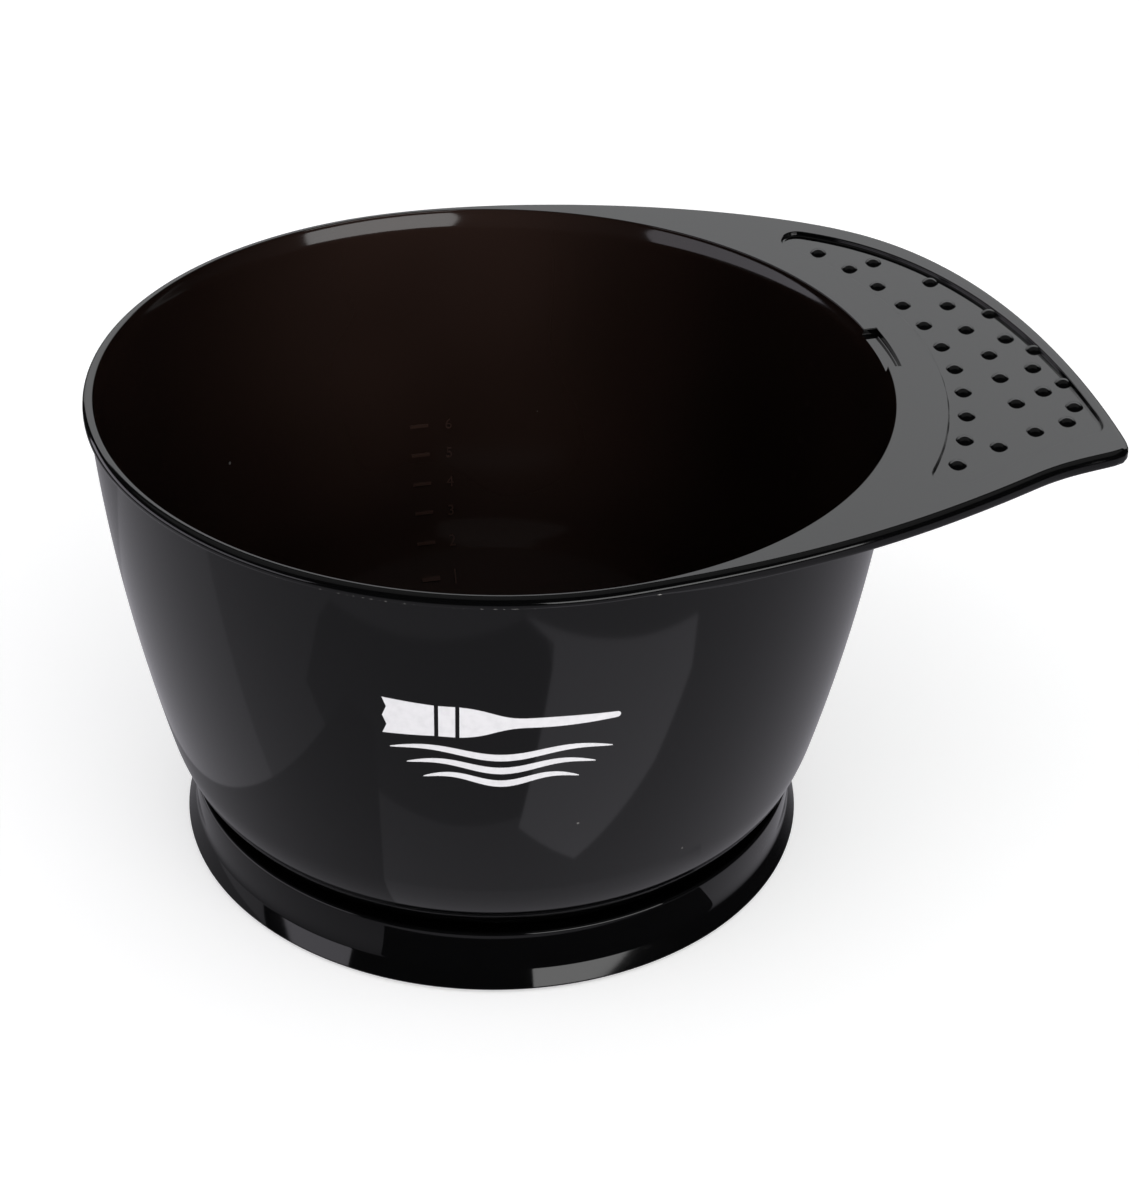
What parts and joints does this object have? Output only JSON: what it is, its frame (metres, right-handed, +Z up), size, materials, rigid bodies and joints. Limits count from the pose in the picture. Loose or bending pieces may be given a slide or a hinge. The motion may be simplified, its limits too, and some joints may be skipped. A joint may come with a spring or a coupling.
{
  "type": "hair colour mixing bowl",
  "caption": "Round mixing bowl with tapered walls, a beaded rim, a flat crescent handle with a domed grip recess, and a flared foot ring with a rubber ring under it.",
  "frame": {"origin": "middle of the object's box at table height; the bowl's own axis stands 16 mm towards -X and 0.9 mm towards -Y from it", "axes": "+Z up out of the mouth, +X towards the handle, -Y the front of the bowl"},
  "size_m": [0.16, 0.1298, 0.0814],
  "materials": {
    "bowl_gloss": "polished black moulded plastic, faintly brown in depth",
    "foot_gloss": "glossy black moulded plastic with fine handling scratches",
    "grip_rubber": "matte black rubber"
  },
  "bodies": {
    "root": {"bowl": "bowl_gloss", "foot_ring": "foot_gloss", "rubber_grip_ring": "grip_rubber"}
  },
  "joints": []
}
